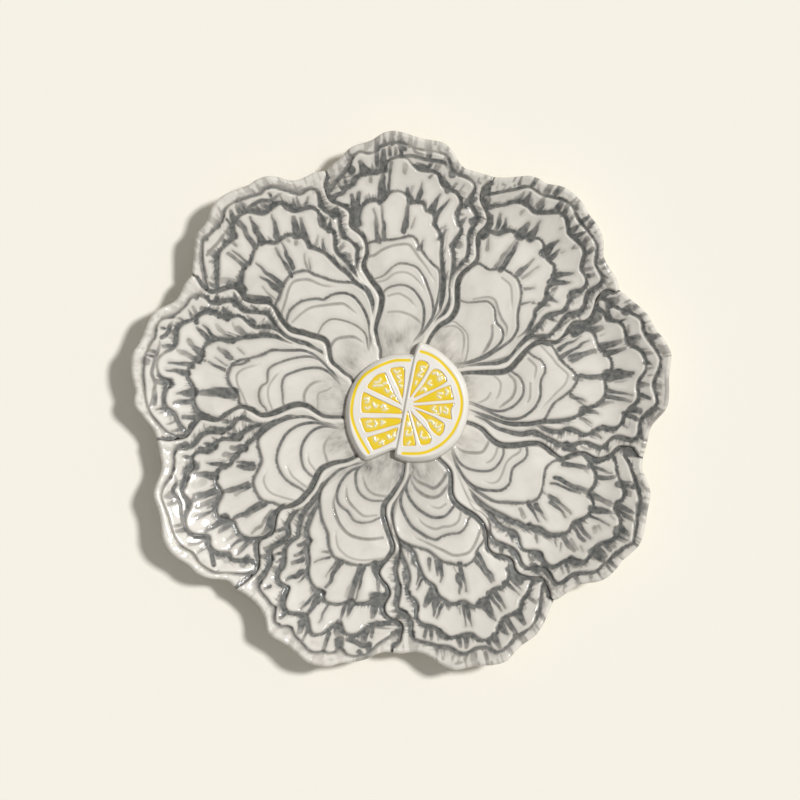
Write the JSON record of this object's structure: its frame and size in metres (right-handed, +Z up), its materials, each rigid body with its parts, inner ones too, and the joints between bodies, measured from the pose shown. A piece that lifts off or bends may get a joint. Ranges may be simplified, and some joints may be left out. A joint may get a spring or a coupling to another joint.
{
  "type": "oyster plate",
  "caption": "Round serving plate for oysters, with overlapping frilled shells in relief round a pair of lemon slices, on a foot ring.",
  "frame": {"origin": "middle of the box round the plate, at the level of the table that the foot ring stands on; the plate's own axis passes 2.8 mm from it because nine shells don't lie opposite each other", "axes": "+Z up, square to the table; +Y from the middle towards the tip of oyster_shell_1, which is the top of the picture; +X to the right of the picture"},
  "size_m": [0.279, 0.2772, 0.0237],
  "materials": {
    "shell_glaze": "glossy",
    "dish_glaze": "glossy",
    "foot_bisque": "matte",
    "lemon_white_glaze": "glossy",
    "lemon_yellow_glaze": "glossy"
  },
  "bodies": {
    "root": {"plate_body": "dish_glaze", "foot_ring": "foot_bisque", "oyster_shell_1": "shell_glaze", "oyster_shell_2": "shell_glaze", "oyster_shell_3": "shell_glaze", "oyster_shell_4": "shell_glaze", "oyster_shell_5": "shell_glaze", "oyster_shell_6": "shell_glaze", "oyster_shell_7": "shell_glaze", "oyster_shell_8": "shell_glaze", "oyster_shell_9": "shell_glaze", "lemon_slice_left": "lemon_white_glaze", "lemon_slice_right": "lemon_white_glaze", "lemon_flesh_left": "lemon_yellow_glaze", "lemon_flesh_right": "lemon_yellow_glaze"}
  },
  "joints": []
}
